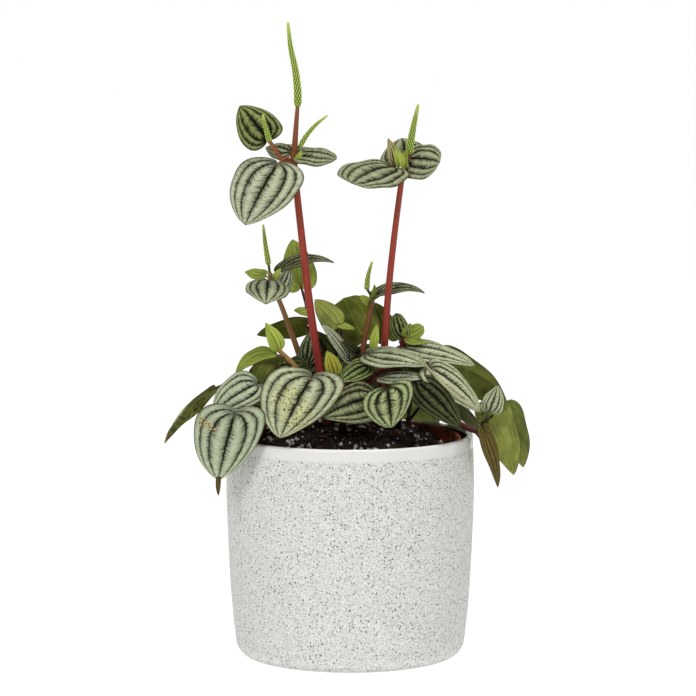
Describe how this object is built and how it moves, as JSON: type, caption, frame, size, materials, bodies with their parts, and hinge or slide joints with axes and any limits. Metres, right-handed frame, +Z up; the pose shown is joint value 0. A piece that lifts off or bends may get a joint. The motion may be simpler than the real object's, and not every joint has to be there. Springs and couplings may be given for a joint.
{
  "type": "potted peperomia",
  "caption": "Leafy ripple-leaved houseplant with upright flower spikes, growing in a nursery pot that stands in a speckled round ceramic cover pot.",
  "frame": {"origin": "middle of the cover pot's flat base, where it stands on a surface", "axes": "+Z up along the pot's axis; -Y towards the front, the side that the picture shows; +X to that side's right"},
  "size_m": [0.1915, 0.1443, 0.3321],
  "materials": {
    "glaze": "off-white, finely speckled, satin; a smooth glossy band under the rim",
    "grow_pot": "thin red-brown nursery pot plastic",
    "soil": "dark crumbly peat with bark and perlite",
    "stem_crimson": "smooth fleshy crimson stem",
    "stem_ochre": "smooth fleshy ochre-brown stem",
    "stem_brown_red": "smooth fleshy brown-red stem",
    "spike_green": "bright green spike with fine bumpy florets",
    "leaf_silver": "satin silver-green leaf with dark sunken veins",
    "leaf_young": "satin yellow-green young leaf",
    "leaf_olive": "satin olive-green leaf underside"
  },
  "bodies": {
    "root": {"cover_pot": "glaze", "grow_pot": "grow_pot", "soil": "soil", "stem_tall_left": "stem_crimson", "crown_tall_left": "leaf_silver", "stem_tall_right": "stem_crimson", "crown_tall_right": "leaf_silver", "stem_left_middle": "stem_ochre", "crown_left_middle": "leaf_silver", "stem_right_middle": "stem_brown_red", "crown_right_middle": "leaf_young", "peduncle_tall_left": "stem_brown_red", "spike_tall_left": "spike_green", "spike_tall_left_branch": "spike_green", "spike_tall_left_side": "spike_green", "peduncle_tall_right": "stem_brown_red", "spike_tall_right": "spike_green", "spike_left_middle": "spike_green", "spike_right_middle": "spike_green", "shoot_left_young": "leaf_young", "shoot_left_low": "leaf_silver", "shoot_back_upright": "leaf_olive", "shoot_centre": "leaf_olive", "shoot_centre_front": "leaf_young", "shoot_front": "leaf_silver", "shoot_right": "leaf_silver", "shoot_right_back": "leaf_young", "shoot_over_right": "leaf_olive", "shoot_back_left": "leaf_silver", "shoot_back_middle": "leaf_silver", "shoot_back_right": "leaf_silver"}
  },
  "joints": []
}
